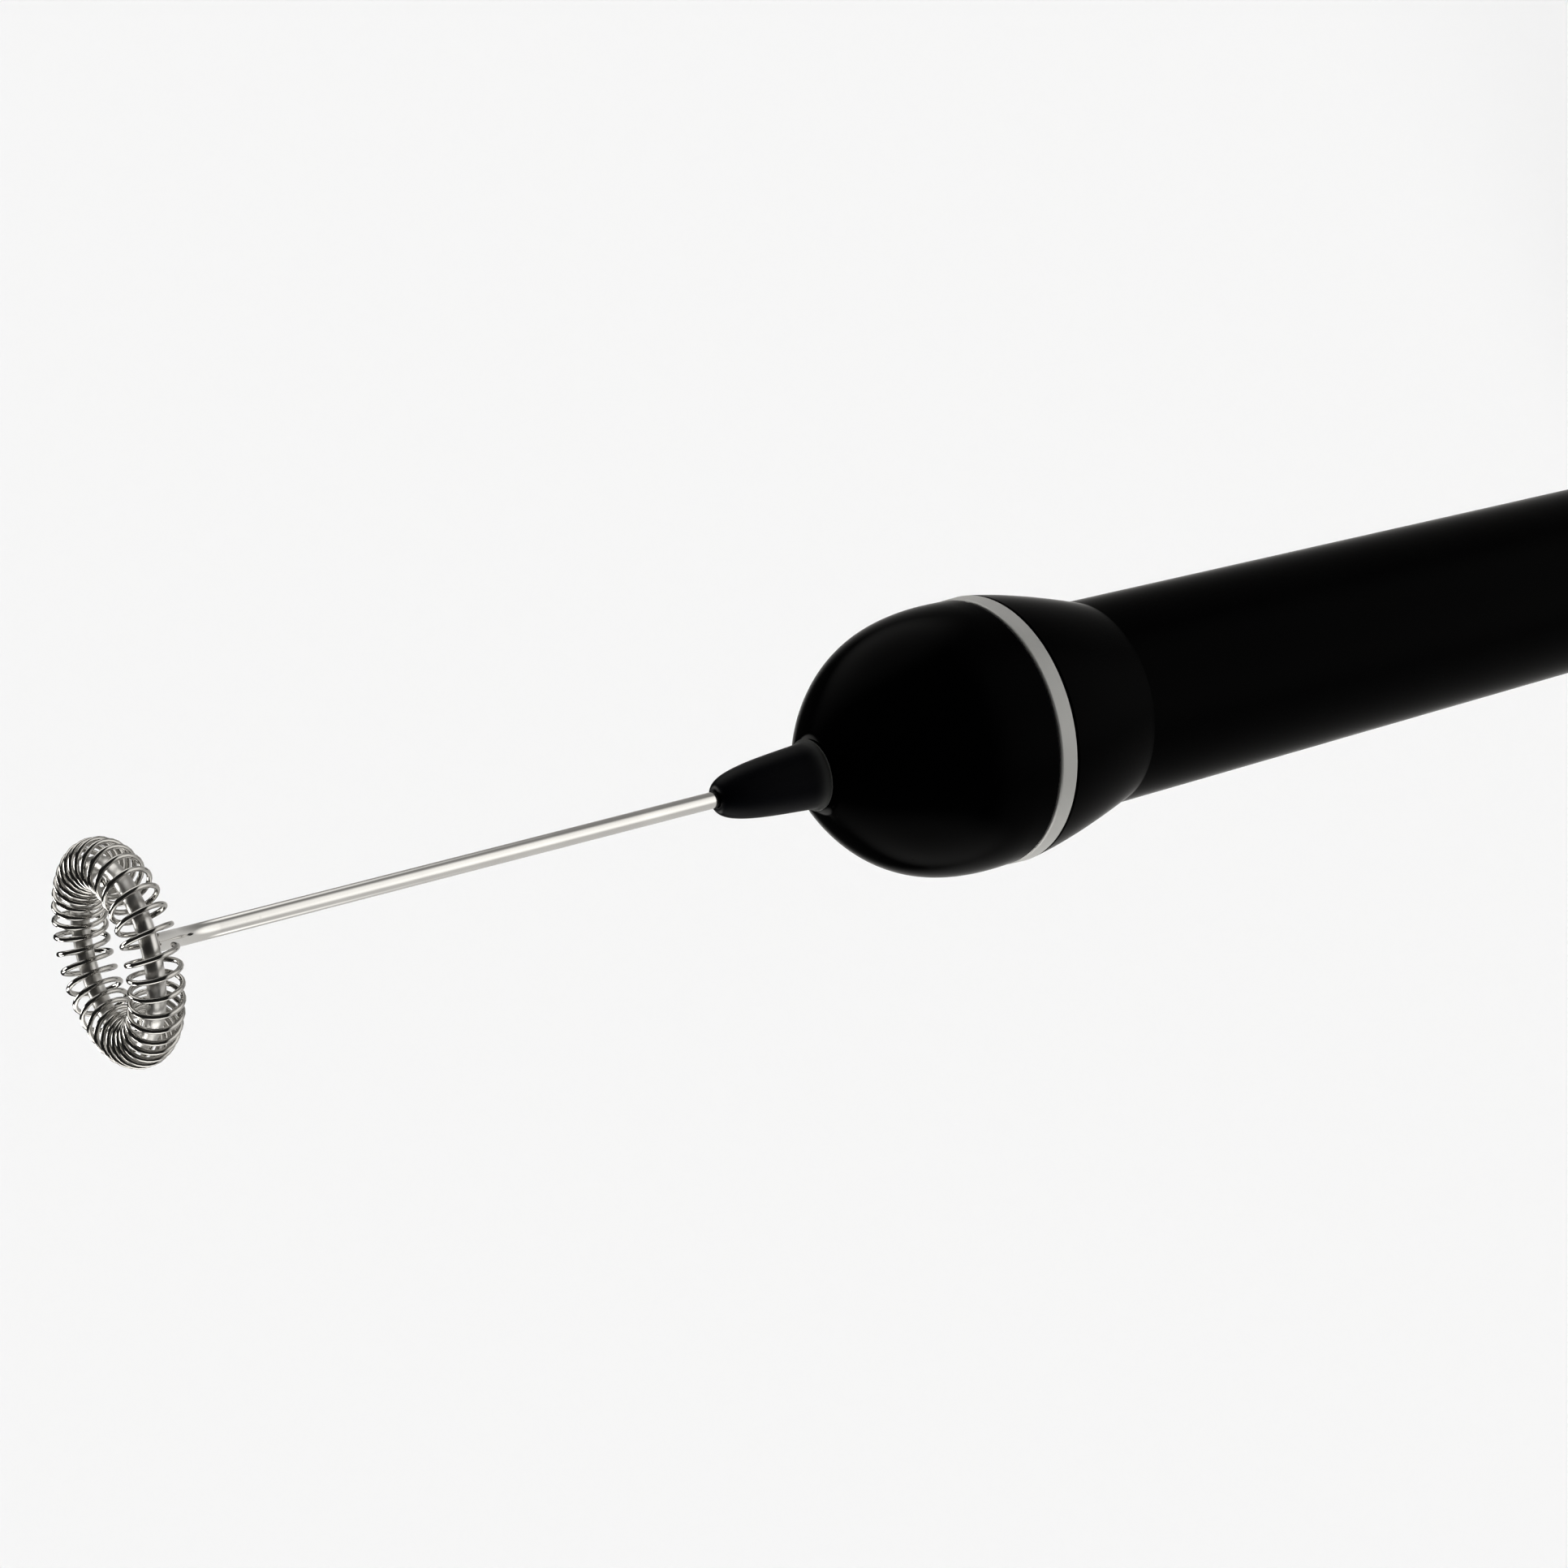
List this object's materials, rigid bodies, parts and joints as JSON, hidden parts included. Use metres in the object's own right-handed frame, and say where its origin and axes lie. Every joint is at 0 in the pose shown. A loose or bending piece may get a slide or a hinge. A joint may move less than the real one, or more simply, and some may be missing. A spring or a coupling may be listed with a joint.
{
  "type": "milk frother",
  "caption": "Hand-held battery milk frother: coiled wire whisk ring on a steel rod, egg-shaped motor housing with a silver trim band, tube handle, and an end cap with a push button.",
  "frame": {"origin": "centre of the end cap's rim, on the surface that the frother stands on", "axes": "+Z along the frother's axis towards the whisk; -Y is the side to which the whisk rod turns out into its ring"},
  "size_m": [0.034, 0.034, 0.255],
  "materials": {
    "gloss_black_plastic": "gloss, fine moulded surface",
    "satin_black_plastic": "satin",
    "silver_trim": "satin silver paint",
    "polished_steel": "polished",
    "plated_steel": "plain plated",
    "copper": "enamelled wire and bare copper",
    "brass": "turned",
    "ferrite": "matt",
    "grey_plastic": "matt",
    "white_plastic": "matt",
    "rubber": "matt",
    "red_insulation": "matt",
    "cell_jacket": "printed film, no lettering"
  },
  "bodies": {
    "housing": {"nose_cone": "satin_black_plastic", "rod_guide": "white_plastic", "dome_housing": "gloss_black_plastic", "trim_band": "silver_trim", "handle_housing": "gloss_black_plastic", "motor_mount": "grey_plastic", "mount_screw_left": "plated_steel", "mount_screw_right": "plated_steel", "motor_can": "plated_steel", "motor_end_bell": "white_plastic", "front_bushing": "brass", "rear_bushing": "brass", "magnet_back": "ferrite", "magnet_front": "ferrite", "terminal_left": "brass", "terminal_right": "brass", "battery_sleeve": "grey_plastic", "battery_rear": "cell_jacket", "battery_front": "cell_jacket", "contact_bulkhead": "grey_plastic", "positive_contact": "plated_steel", "return_strip": "plated_steel", "lead_positive": "red_insulation", "lead_return": "rubber"},
    "whisk": {"whisk_rod": "polished_steel", "whisk_coil": "polished_steel", "shaft_coupling": "white_plastic", "motor_shaft": "polished_steel", "armature_core": "plated_steel", "armature_winding_1": "copper", "armature_winding_2": "copper", "armature_winding_3": "copper", "commutator": "copper"},
    "cap": {"end_cap": "gloss_black_plastic", "cap_o_ring": "rubber", "switch_base": "grey_plastic", "fixed_contact": "plated_steel", "button_spring": "plated_steel", "cell_spring": "plated_steel", "cap_contact_ring": "plated_steel", "cap_strip": "plated_steel"},
    "button": {"push_button": "satin_black_plastic", "moving_contact": "plated_steel"}
  },
  "joints": [
    {"name": "whisk_spin", "type": "hinge", "parent": "housing", "child": "whisk", "pos_m": [0, 0, 0.17], "axis": [0, 0, 1], "continuous": true},
    {"name": "cap_pull", "type": "slide", "parent": "housing", "child": "cap", "axis": [0, 0, -1], "range_m": [0, 0.03]},
    {"name": "button_press", "type": "slide", "parent": "cap", "child": "button", "axis": [0, 0, 1], "range_m": [0, 0.0015], "stiffness_N_per_m": 1200, "springref_m": -0.0005, "deforming": ["button_spring"]}
  ]
}
